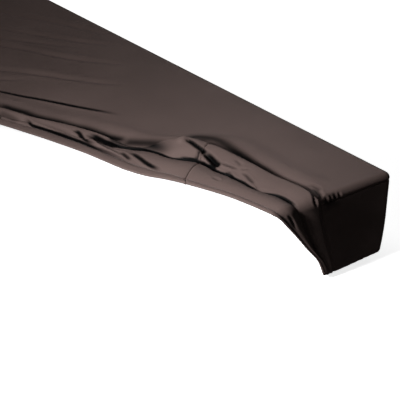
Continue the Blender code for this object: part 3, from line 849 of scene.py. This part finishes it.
@dataclass
class Stitching:
    """Rows of stitches that follow paths on one sheet, laid by a Geometry Nodes tree."""

    pitch: float = 0.0034
    length: float = 0.0026
    thread: float = 0.00045
    jitter: float = 0.12
    seed: int = 7
    tree: bpy.types.NodeTree | None = None

    def node_tree(self) -> bpy.types.NodeTree:
        """Build the tree once.

        Returns:
            A tree that turns edges into rows of stitches.
        """
        if self.tree is not None:
            return self.tree
        self.tree = tree = bpy.data.node_groups.new("Stitch rows", "GeometryNodeTree")
        sockets = {"Geometry": "Geometry", "Pitch": "Float", "Length": "Float", "Thread": "Float",
                   "Jitter": "Float", "Seed": "Int", "Finish": "Material"}
        for name, kind in sockets.items():
            tree.interface.new_socket(name, in_out="INPUT", socket_type="NodeSocket" + kind)
        tree.interface.new_socket("Geometry", in_out="OUTPUT", socket_type="NodeSocketGeometry")
        bench = NodeBench(tree)
        given = bench.add("NodeGroupInput").outputs
        curve = bench.add("GeometryNodeMeshToCurve", {"Mesh": given["Geometry"]}).outputs["Curve"]
        points = bench.add("GeometryNodeCurveToPoints", {"Curve": curve, "Length": given["Pitch"]},
                           mode="LENGTH").outputs
        aim = bench.add("FunctionNodeAlignRotationToVector", {"Vector": points["Tangent"]}, axis="X")
        spread = bench.add("FunctionNodeRandomValue", {"Seed": given["Seed"]}, data_type="FLOAT")
        limits = [one for one in spread.inputs if one.type == "VALUE" and one.enabled]
        bench.feed(limits[0], bench.math("SUBTRACT", 1.0, given["Jitter"]))
        bench.feed(limits[1], bench.math("ADD", 1.0, given["Jitter"]))
        drawn = [one for one in spread.outputs if one.enabled][0]
        length = bench.math("MULTIPLY", given["Length"], drawn)
        size = bench.add("ShaderNodeCombineXYZ", {"X": length, "Y": given["Thread"], "Z": given["Thread"]})
        ball = bench.add("GeometryNodeMeshUVSphere", {"Segments": 6, "Rings": 4, "Radius": 0.5})
        placed = bench.add("GeometryNodeInstanceOnPoints", {
            "Points": points["Points"], "Instance": ball.outputs["Mesh"],
            "Rotation": aim.outputs["Rotation"], "Scale": size.outputs["Vector"]})
        real = bench.add("GeometryNodeRealizeInstances", {"Geometry": placed.outputs["Instances"]})
        paint = bench.add("GeometryNodeSetMaterial", {
            "Geometry": real.outputs["Geometry"], "Material": given["Finish"]})
        bench.add("NodeGroupOutput", {"Geometry": paint.outputs["Geometry"]})
        return tree

    def sew(self, name: str, paths: list[Array], finish: bpy.types.Material) -> bpy.types.Object:
        """Lay rows of stitches along paths.

        Args:
            name: name of the finished piece.
            paths: points of each row, in millimetres.
            finish: material of the thread.

        Returns:
            One plain mesh with all the stitches.
        """
        verts: list[tuple[float, ...]] = []
        edges: list[tuple[int, int]] = []
        for path in paths:
            first = len(verts)
            verts += [tuple(point) for point in path * MM]
            edges += [(first + k, first + k + 1) for k in range(len(path) - 1)]
        mesh = bpy.data.meshes.new(name + "_path")
        mesh.from_pydata(verts, edges, [])
        guide = bpy.data.objects.new(name + "_path", mesh)
        bpy.context.scene.collection.objects.link(guide)
        rows = guide.modifiers.new("Stitches", "NODES")
        rows.node_group = self.node_tree()
        values = {"Pitch": self.pitch, "Length": self.length, "Thread": self.thread,
                  "Jitter": self.jitter, "Seed": self.seed, "Finish": finish}
        for socket in rows.node_group.interface.items_tree:
            if socket.in_out == "INPUT" and socket.name in values:
                rows[socket.identifier] = values[socket.name]
        bpy.context.view_layer.update()
        evaluated = guide.evaluated_get(bpy.context.evaluated_depsgraph_get())
        made = bpy.data.meshes.new_from_object(evaluated)
        made.name = name
        bpy.data.objects.remove(guide, do_unlink=True)
        piece = bpy.data.objects.new(name, made)
        bpy.context.scene.collection.objects.link(piece)
        return piece


def surface_normals(points: Array) -> Array:
    """Unit normals of a grid of points, from its rows and columns."""
    across = np.gradient(points, axis=0)
    along = np.gradient(points, axis=1)
    normal = np.cross(along, across)
    return normal / np.maximum(np.linalg.norm(normal, axis=-1, keepdims=True), 1e-9)


def run_across(points: Array) -> Array:
    """Length of cloth from the first row of a grid to each point."""
    steps = np.linalg.norm(np.diff(points, axis=0), axis=-1)
    return np.concatenate([np.zeros((1, points.shape[1])), np.cumsum(steps, axis=0)])


@dataclass(frozen=True)
class Gathers:
    """Uneven gathers of a fitted skirt: soft slack on its wall, most at its hem.

    All lengths are in millimetres. Each wave along the skirt has its own length.
    """

    hem: float = 1.1
    hem_wave: float = 41.0
    hem_second_wave: float = 67.0
    hem_second_share: float = 0.6
    slack: float = 1.2
    slack_wave: float = 233.0
    slack_share: float = 0.6
    pucker: float = 0.35
    pucker_wave: float = 9.3
    pucker_drift: float = 21.0
    pucker_height: float = 22.0
    pucker_fade: float = 40.0
    seam_fade: float = 40.0

    def rise(self, form: CoverForm, run: Array, depth: Array, from_seam: Array) -> Array:
        """Rise of the cloth in the gathers.

        Args:
            form: the form of the cover.
            run: place round the cover.
            depth: distance of cloth below the top edge.
            from_seam: distance from the nearest upright seam.

        Returns:
            The rise of the cloth there, in millimetres.
        """
        wave = np.sin(2 * np.pi * run / self.hem_wave)
        wave = wave + self.hem_second_share * np.sin(2 * np.pi * run / self.hem_second_wave + 1.3)
        wall = np.clip((depth - form.seam_drop) / (form.height - form.seam_drop), 0.0, 1.0)
        slack = self.slack * np.sin(np.pi * wall)
        hem = self.hem * ease((depth - form.height) / form.hem_tuck)
        uneven = self.slack_share + (1 - self.slack_share) * np.sin(2 * np.pi * run / self.slack_wave)
        full = hem * wave - slack * uneven
        drift = 2.0 * np.sin(run / self.pucker_drift)
        pucker = self.pucker * np.sin(2 * np.pi * run / self.pucker_wave + drift)
        pucker = pucker * ease((depth - form.height + self.pucker_height) / self.pucker_fade)
        return (full + pucker) * ease(from_seam / self.seam_fade)


@dataclass
class ClothSheet:
    """One cut sheet of knit that stands for one node of the frame.

    Thickness and the measures of the hem and seams are in millimetres. The hem is turned in by steps of
    hem_turns degrees; turn_per_step is the turn that takes up the cloth between two rows.
    """

    form: CoverForm
    folds: FrontFolds
    creased: FoldMap
    gathers: Gathers
    stitching: Stitching
    finish: bpy.types.Material
    thread: bpy.types.Material
    node: str = ""
    slot: str = "cover_skirt"
    flat: tuple[float, float] = (1.0, 1.0)
    cut_area: float | None = None
    hold: Hold = Hold.STRETCHED
    thickness: float = 0.9
    hem_radius: float = 1.2
    hem_return: float = 9.0
    hem_turns: tuple[int, ...] = (180, 135, 90, 45)
    turn_per_step: float = 300.0
    seam_dip: float = 0.5
    seam_width: float = 1.1
    row_trim: int = 3
    piece: bpy.types.Object | None = None
    stitches: bpy.types.Object | None = None
    paths: list[Array] = field(default_factory=list)

    def grid(self) -> Grid:
        """Lay out the sheet's points; each kind of sheet has its own way."""
        raise NotImplementedError

    def sewn(self, relief: Array, border: Array) -> Array:
        """Let the relief dip softly at the seams, by the distance from the sheet's border."""
        return relief - self.seam_dip * bell(border / self.seam_width)

    def stitch_row(self, row: Array) -> None:
        """Ask for a row of stitches along a row of points, short of the seams at its ends."""
        self.paths = [row[self.row_trim:-self.row_trim]]

    def turned_hem(self, points: Array, flat: Array, shade: Array, side: int) -> Grid:
        """Turn the cloth in round the hem and back inside it.

        Args:
            points: rows from the hem upwards, with the columns second.
            flat: flat cloth place of each point.
            shade: painted shade of each point.
            side: 1 where the columns run rightwards, seen from outside, and -1 where leftwards.

        Returns:
            The grid with the rows of the turned hem before it.
        """
        edge = points[0]
        along = np.gradient(edge, axis=0)
        along /= np.maximum(np.linalg.norm(along, axis=-1, keepdims=True), 1e-9)
        out = edge - points[2]
        out -= (out * along).sum(axis=-1, keepdims=True) * along
        out /= np.maximum(np.linalg.norm(out, axis=-1, keepdims=True), 1e-9)
        normal = side * np.cross(along, -out)
        across = run_across(points)
        faces = side * surface_normals(points)
        radius = self.hem_radius
        rows, flats = [], []
        for back in (self.hem_return, self.hem_return * 0.5):
            row = np.argmin(np.abs(across - back), axis=0)
            columns = np.arange(points.shape[1])
            rows.append(points[row, columns] - 2 * radius * faces[row, columns])
            flats.append(2 * flat[0] - flat[row, columns])
        for angle in self.hem_turns:
            turn = math.radians(angle)
            rows.append(edge + radius * math.sin(turn) * out - radius * (1 - math.cos(turn)) * normal)
            flats.append(flat[0] + (flat[0] - flat[2]) * angle / self.turn_per_step)
        return Grid(np.concatenate([np.array(rows), points]),
                    np.concatenate([np.array(flats), flat]),
                    np.concatenate([np.zeros((len(rows), points.shape[1])), shade]))

    def build(self) -> bpy.types.Object:
        """Make the sheet's mesh and give it its thickness.

        Returns:
            The finished sheet.
        """
        grid = self.grid()
        rows, columns = grid.shade.shape
        name = "cloth_" + self.node
        index = np.arange(rows * columns).reshape(rows, columns)
        faces = np.stack([index[:-1, :-1], index[1:, :-1], index[1:, 1:], index[:-1, 1:]], axis=-1)
        mesh = bpy.data.meshes.new(name)
        mesh.from_pydata((grid.points.reshape(-1, 3) * MM).tolist(), [], faces.reshape(-1, 4).tolist())
        corners = np.empty(len(mesh.loops), dtype=np.int32)
        mesh.loops.foreach_get("vertex_index", corners)
        layer = mesh.uv_layers.new(name=CLOTH_UV)
        layer.uv.foreach_set("vector", (grid.flat.reshape(-1, 2) * MM)[corners].ravel())
        # painted shade of each point, which the material paints into the colour
        shade = mesh.attributes.new(PAINTED_SHADE, "FLOAT", "POINT")
        shade.data.foreach_set("value", np.clip(grid.shade, 0.0, 1.0).ravel())
        work = bmesh.new()
        work.from_mesh(mesh)
        bmesh.ops.remove_doubles(work, verts=work.verts, dist=0.00001)
        bmesh.ops.dissolve_degenerate(work, edges=work.edges, dist=0.00001)
        work.to_mesh(mesh)
        work.free()
        mesh.shade_smooth()
        mesh.materials.append(self.finish)
        self.piece = bpy.data.objects.new(name, mesh)
        bpy.context.scene.collection.objects.link(self.piece)
        shell = self.piece.modifiers.new("Knit thickness", "SOLIDIFY")
        shell.thickness = self.thickness * MM
        shell.offset = -1.0
        if self.paths:
            self.stitches = self.stitching.sew("stitches_" + self.node, self.paths, self.thread)
        LOG.info("%s: %d faces, flat area %.4f m2", name, len(mesh.polygons), grid.area())
        return self.piece

    def dress(self) -> None:
        """Join the sheet and its stitches to the frame, and hide the frame's part that the sheet stands
        for.
        """
        if self.stitches is not None:
            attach(self.stitches, "root")
        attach(self.piece, "root")
        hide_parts(self.node)


@dataclass
class TopPanel(ClothSheet):
    """The top, sewn to the skirts just below its rounded edges and at the drawn-back front seam."""

    node: str = "top_panel"
    slot: str = "cover_top"
    flat: tuple[float, float] = (1.102, 0.330)
    cut_area: float | None = 0.300
    middle_rows: int = 84

    def columns(self) -> Array:
        """Places along the length, closest at the folds and at the edges."""
        form = self.form
        edge, end = form.half_length, form.half_length + form.seam_drop
        return graded((-end, -end + 2, 1.0), (-end + 2, 8 - edge, 1.4), (8 - edge, -220, 9.0),
                      (-220, -20, 3.6), (-20, 330, 2.6), (330, edge - 8, 2.4),
                      (edge - 8, end - 2, 1.4), (end - 2, end, 1.0))

    def grid(self) -> Grid:
        """Lay out the top from its front seam to its back seam."""
        form = self.form
        u = self.columns()
        back = form.half_depth + form.seam_drop
        front = self.creased.seam(u)
        near = graded((0.0, 3.0, 1.0), (3.0, 60.0, 1.5))
        far = graded((back - 18, back - 2, 1.4), (back - 2, back, 1.0))
        share = np.linspace(0.0, 1.0, self.middle_rows)[1:-1]
        between = (front + near[-1])[:, None] * (1 - share) + far[0] * share
        w = np.concatenate([front[:, None] + near, between,
                            np.broadcast_to(far, (len(u), len(far)))], axis=1)
        u = np.broadcast_to(u[:, None], w.shape)
        relief, shade = self.creased.top(u, w)
        border = np.minimum(w - front[:, None], back - w)
        border = np.minimum(border, form.end_top - np.abs(u))
        points = form.shape(form.fold(u, w), self.sewn(relief, border))
        return Grid(points, np.stack([u, w], axis=-1), shade)


@dataclass
class FrontSkirt(ClothSheet):
    """A length of the front skirt, from the hem to the seam with the top.

    Rows are those of the band, of the middle and of the roll, of which stitched_row has the stitches. Left
    of gathered_to the skirt is gathered. Creases fade out over seam_fade before the seam, and softness is
    the skirt's share of the cloth's slight unevenness.
    """

    from_u: float = 0.0
    to_u: float = 0.0
    rows: tuple[int, int, int] = (14, 30, 46)
    stitched_row: int = 12
    gathered_to: float = -60.0
    gather_blend: float = 60.0
    seam_fade: float = 6.0
    softness: float = 0.6

    def columns(self) -> Array:
        """Places of the seam at which the skirt is sectioned."""
        runs = ((-600.0, -170.0, 8.0), (-170.0, -20.0, 3.6), (-20.0, 170.0, 3.0), (170.0, 396.0, 1.7),
                (396.0, 536.0, 1.5), (536.0, 552.0, 1.3), (552.0, 664.0, 2.4))
        inside = [(max(a, self.from_u), min(b, self.to_u), step) for a, b, step in runs
                  if a < self.to_u and b > self.from_u]
        return graded(*inside)

    def fitted_depth(self, share: Array) -> Array:
        """Depth below the top edge of each row where the skirt is fitted, by its share of the rows."""
        form = self.form
        low, high = form.height - form.edge_radius, form.height + form.edge_radius
        return Curve((0.0, 0.17, 0.36, 1.0), (form.hem_end, high, low, form.seam_drop)).at(share)

    def sections(self, u_seam: Array) -> tuple[Array, ...]:
        """Section the skirt.

        Args:
            u_seam: place of each section on the seam with the top.

        Returns:
            Places u and w and the rise of each point, with the rows from the hem up first.
        """
        form, folds = self.form, self.folds
        hem, whole = folds.line("hem", u_seam), folds.line("seam", u_seam) - folds.line("hem", u_seam)
        lean = folds.lean * bell((u_seam - form.cross_seam) / folds.lean_width)
        lean = lean * ease((form.end_top - u_seam) / folds.lean_fade)
        zones = (("hem", "tuck", "band"), ("tuck", "crease", "middle"), ("crease", "seam", "roll"))
        places_u, places_w, rises = [], [], []
        step = 0
        for (low, high, swell), rows in zip(zones, self.rows):
            last = rows + 1 if high == "seam" else rows
            for k in range(last):
                share = (1 - math.cos(math.pi * k / rows)) / 2
                low_w, high_w = folds.line(low, u_seam), folds.line(high, u_seam)
                gone = np.minimum((low_w + (high_w - low_w) * share - hem) / whole, 1.0)
                u = u_seam + lean * (1 - gone) ** folds.lean_curve
                start, stop = folds.line(low, u), folds.line(high, u)
                if high == "seam":
                    stop = self.creased.seam(u)
                    stop = np.where(u < form.end_top, stop, folds.line("seam", u))
                w = start + (stop - start) * share
                fitted = ease((folds.fitted_to + folds.fitted_blend - u) / folds.fitted_blend)
                down = -form.half_depth - self.fitted_depth(np.array(step / sum(self.rows)))
                w = w + (down - w) * fitted
                if high == "seam":
                    height = folds.line(swell, u) * folds.roll_profile(u, share)
                    falls_from = folds.falls_from - folds.slump_earlier * folds.slumped(u)
                    fall = ease((share - falls_from) / (1 - falls_from))
                    height = height - folds.valley(form, u) * fall
                else:
                    height = folds.line(swell, u) * math.sin(math.pi * share)
                places_u.append(u)
                places_w.append(w)
                rises.append(height)
                step += 1
        return np.array(places_u), np.array(places_w), np.array(rises)

    def gathered(self, u: Array, w: Array) -> Array:
        """Gathers of the fitted length at the left, as the elastic draws them."""
        depth = -w - self.form.half_depth
        loose = ease((self.gathered_to - u) / self.gather_blend)
        from_seam = u + self.form.half_length - self.form.corner_seam
        return loose * self.gathers.rise(self.form, u, depth, from_seam)

    def grid(self) -> Grid:
        """Lay out the skirt with its turned hem."""
        form = self.form
        u_seam = self.columns()
        u, w, rise = self.sections(u_seam)
        points = form.shape(form.fold(u, w), rise + self.gathered(u, w))
        across = run_across(points)
        border = across[-1:] - across
        fade = ease(border / self.seam_fade)
        creases, shade = self.creased.skirt(u, across)
        relief = fade * (creases + self.softness * self.creased.unevenness(u, across))
        for end in (self.from_u, self.to_u):
            if end < form.end_top:
                border = np.minimum(border, np.abs(u_seam - end)[None, :])
        points = points + self.sewn(relief, border)[..., None] * surface_normals(points)
        grid = self.turned_hem(points, np.stack([u, across], axis=-1), fade * shade, 1)
        first = len(grid.points) - sum(self.rows) - 1
        self.stitch_row(grid.points[first + self.stitched_row])
        return grid.turned()


@dataclass
class WallSkirt(ClothSheet):
    """A fitted skirt that goes round part of the cover.

    The side is -1 for a skirt whose rows run the other way round, and stitched_at is the length of cloth
    from the hem to its row of stitches.
    """

    side: int = 1
    stitched_at: float = 13.0

    def depths(self) -> Array:
        """Rows of the skirt, as distances of cloth below the top edge, from the hem up."""
        form = self.form
        bottom = form.height
        return graded((form.seam_drop, form.seam_drop + 3, 1.0), (form.seam_drop + 3, bottom - 7, 3.0),
                      (bottom - 7, bottom + 7, 1.2), (bottom + 7, form.hem_end, 2.4))[::-1]

    def around(self, depth: float) -> tuple[Array, ...]:
        """Places round the cover at one depth: x, y and the run along the cloth."""
        raise NotImplementedError

    def grid(self) -> Grid:
        """Lay out the skirt with its turned hem."""
        form = self.form
        depths = self.depths()
        spots = [self.around(depth) for depth in depths]
        x = np.array([spot[0] for spot in spots])
        y = np.array([spot[1] for spot in spots])
        run = np.array([spot[2] for spot in spots])
        deep = np.broadcast_to(depths[:, None], run.shape)
        from_seam = np.minimum(run - run[:, :1], run[:, -1:] - run)
        creases, shade = self.extra(x, y, deep)
        relief = self.gathers.rise(form, run, deep, from_seam) + creases
        border = np.minimum(deep - form.seam_drop, from_seam)
        points = form.shape(form.wall(x, y, deep), self.sewn(relief, border))
        flat = np.stack([run, -deep], axis=-1)
        grid = self.turned_hem(points, flat, shade, -self.side)
        first = len(grid.points) - len(depths)
        hem_row = first + int(np.argmin(np.abs(depths - (form.hem_end - self.stitched_at))))
        self.stitch_row(grid.points[hem_row])
        return grid.turned() if self.side < 0 else grid

    def extra(self, x: Array, y: Array, depth: Array) -> Array:
        """Relief and painted shade of the creases that reach this skirt."""
        return np.zeros((2, *x.shape))


@dataclass
class BackSkirt(WallSkirt):
    """The back skirt, in one length."""

    node: str = "skirt_back"
    flat: tuple[float, float] = (1.066, 0.1125)

    def around(self, depth: float) -> tuple[Array, ...]:
        """Places along the back, from the left seam to the right one."""
        reach = self.form.half_length - self.form.corner_seam
        x = graded((-reach, -reach + 3, 1.0), (-reach + 3, -reach + 60, 3.0),
                   (-reach + 60, reach - 60, 5.0), (reach - 60, reach - 3, 3.0), (reach - 3, reach, 1.0))
        return x, np.full(x.shape, self.form.half_depth), x


@dataclass
class EndSkirt(WallSkirt):
    """One end of the cover, with the upright corners that its cloth turns; the left one has side -1."""

    def around(self, depth: float) -> tuple[Array, ...]:
        """Places round the end, from the back seam to the front one."""
        form = self.form
        corner, size = form.corner_seam, form.depth
        if self.side > 0:
            stop = form.half_depth - self.folds.line("seam", form.half_length + depth)
            tail = [(24.0, 60.0, 3.0), (60.0, 61.0, 1.0)]
            rest = 61.0 + (stop - 61.0) * np.array([0.12, 0.3, 0.5, 0.7, 0.86, 0.95, 1.0])
        else:
            tail = [(24.0, size - 24, 4.0), (size - 24, size - 9, 3.0), (size - 9, size + 9, 1.1),
                    (size + 9, size + corner, 0.5)]
            rest = np.array([])
        first = ((-corner, -9.0, 0.5), (-9.0, 9.0, 1.1), (9.0, 24.0, 3.0))
        run = np.concatenate([graded(*first, *tail), rest])
        x = np.where(run < 0, form.half_length + run,
                     np.where(run > size, form.half_length - (run - size), form.half_length))
        y = np.clip(form.half_depth - run, -form.half_depth, form.half_depth)
        return self.side * x, y, run

    def extra(self, x: Array, y: Array, depth: Array) -> Array:
        """Relief and painted shade of the creases that run from the top over the right end."""
        if self.side < 0:
            return super().extra(x, y, depth)
        return self.creased.creased(self.form.half_length + depth, y)


@dataclass(frozen=True)
class SoftBox:
    """A square soft box: its place and aim and size in metres, power in watts and beam in degrees."""

    name: str
    place: Place
    aim: Place
    size: float
    power: float
    spread: float = 180.0

    def hang(self) -> None:
        """Hang the soft box in the studio, out of the camera's sight."""
        lamp = bpy.data.lights.new(self.name, "AREA")
        lamp.shape = "SQUARE"
        lamp.size = self.size
        lamp.energy = self.power
        lamp.spread = math.radians(self.spread)
        box = bpy.data.objects.new(self.name, lamp)
        box.location = self.place
        box.rotation_mode = "QUATERNION"
        box.rotation_quaternion = (Vector(self.aim) - Vector(self.place)).to_track_quat("-Z", "Y")
        box.visible_camera = False
        bpy.context.scene.collection.objects.link(box)


@dataclass(frozen=True)
class Studio:
    """Pale floor, soft studio light, and the camera at the photograph's angle."""

    floor_size: float = 9.0
    floor_gap: float = 0.001
    floor_colour: Colour = (0.92, 0.92, 0.92)
    floor_bounce: Colour = (0.1, 0.1, 0.1)
    floor_glow: float = 0.8
    floor_roughness: float = 0.9
    floor_specular: float = 0.1
    fill: float = 0.02
    backdrop: float = 1.0
    lens: float = 83.979
    sensor: float = 36.0
    nearest: float = 0.01
    camera_place: Place = (1.11677, -0.44454, 0.39234)
    camera_rows: tuple[Place, ...] = (
        (0.55218, -0.37881, 0.74269), (0.83372, 0.25397, -0.49032), (-0.00288, 0.88994, 0.45606))
    lamps: tuple[SoftBox, ...] = (
        SoftBox("key_soft_box", (0.52, -0.55, 0.29), (0.47, 0.04, 0.0), 0.12, 3.0, 100.0),
        SoftBox("overhead_soft_box", (-0.4, -0.15, 1.5), (-0.1, 0.0, 0.0), 0.9, 5.6),
        SoftBox("rear_soft_box", (-0.75, 1.2, 0.7), (-0.1, 0.1, 0.0), 0.8, 4.0),
    )

    def floor(self, level: float) -> None:
        """Lay the floor at a level in metres; it shows pale, but throws little light on the cover."""
        half = self.floor_size / 2
        mesh = bpy.data.meshes.new("floor")
        corners = [(-half, -half, level), (half, -half, level), (half, half, level), (-half, half, level)]
        mesh.from_pydata(corners, [], [(0, 1, 2, 3)])
        material, bench = start_material("studio_floor")
        seen = bench.add("ShaderNodeLightPath").outputs["Is Camera Ray"]
        finish_material(bench, {
            "Base Color": bench.mix(seen, (*self.floor_bounce, 1.0), (*self.floor_colour, 1.0)),
            "Roughness": self.floor_roughness,
            "Specular IOR Level": self.floor_specular,
            "Emission Color": (1.0, 1.0, 1.0, 1.0),
            "Emission Strength": bench.math("MULTIPLY", seen, self.floor_glow),
        })
        mesh.materials.append(material)
        floor = bpy.data.objects.new("studio_floor", mesh)
        bpy.context.scene.collection.objects.link(floor)

    def surroundings(self) -> None:
        """Fill the surroundings with even, pale light: faint on the cover, bright where they show."""
        world = bpy.data.worlds.new("studio")
        world.use_nodes = True
        bench = NodeBench(world.node_tree)
        seen = bench.add("ShaderNodeLightPath").outputs["Is Camera Ray"]
        sky = world.node_tree.nodes["Background"]
        bench.feed(sky.inputs["Color"], (1.0, 1.0, 1.0, 1.0))
        bench.feed(sky.inputs["Strength"], bench.mix(seen, self.fill, self.backdrop, "FLOAT"))
        bpy.context.scene.world = world

    def camera(self) -> None:
        """Set up the camera that took the photograph."""
        data = bpy.data.cameras.new("photo_camera")
        data.lens = self.lens
        data.sensor_width = self.sensor
        data.clip_start = self.nearest
        camera = bpy.data.objects.new("photo_camera", data)
        turn = Matrix(self.camera_rows).to_4x4()
        turn.translation = Vector(self.camera_place)
        camera.matrix_world = turn
        bpy.context.scene.collection.objects.link(camera)
        bpy.context.scene.camera = camera

    def build(self, level: float) -> None:
        """Build the whole studio round an object that stands at a level."""
        bpy.context.scene.view_settings.view_transform = "Standard"
        self.floor(level - self.floor_gap)
        for lamp in self.lamps:
            lamp.hang()
            LOG.info("%s: %.1f W", lamp.name, lamp.power)
        self.surroundings()
        self.camera()


def main() -> None:
    """Build the cover's sheets in order, dress them and set the studio."""
    logging.basicConfig(level=logging.INFO, format="%(name)s: %(message)s")
    form, folds = CoverForm(), FrontFolds()
    creased = FoldMap(form, folds)
    top, skirt = KnitFinish("knit_top").material(), KnitFinish("knit_skirt").material()
    thread = ThreadFinish().material()
    shared = dict(form=form, folds=folds, creased=creased, gathers=Gathers(), stitching=Stitching(),
                  thread=thread)
    left_seam = form.corner_seam - form.half_length
    sheets: list[ClothSheet] = [
        TopPanel(finish=top, **shared),
        FrontSkirt(finish=skirt, node="skirt_front_left", flat=(0.921, 0.1125), cut_area=0.092,
                   hold=Hold.GATHERED, from_u=left_seam, to_u=form.cross_seam, **shared),
        FrontSkirt(finish=skirt, node="skirt_front_right", flat=(0.276, 0.1125), cut_area=0.0195,
                   hold=Hold.GATHERED, from_u=form.cross_seam, to_u=form.half_length + form.hem_end,
                   **shared),
        BackSkirt(finish=skirt, **shared),
        EndSkirt(finish=skirt, node="skirt_end_right", flat=(0.088, 0.1125), side=1, **shared),
        EndSkirt(finish=skirt, node="skirt_end_left", flat=(0.334, 0.1125), side=-1, **shared),
    ]
    for sheet in sheets:
        sheet.build()
        sheet.dress()
    Studio().build(CAD_BOX[0][2])


if __name__ == "__main__":
    main()
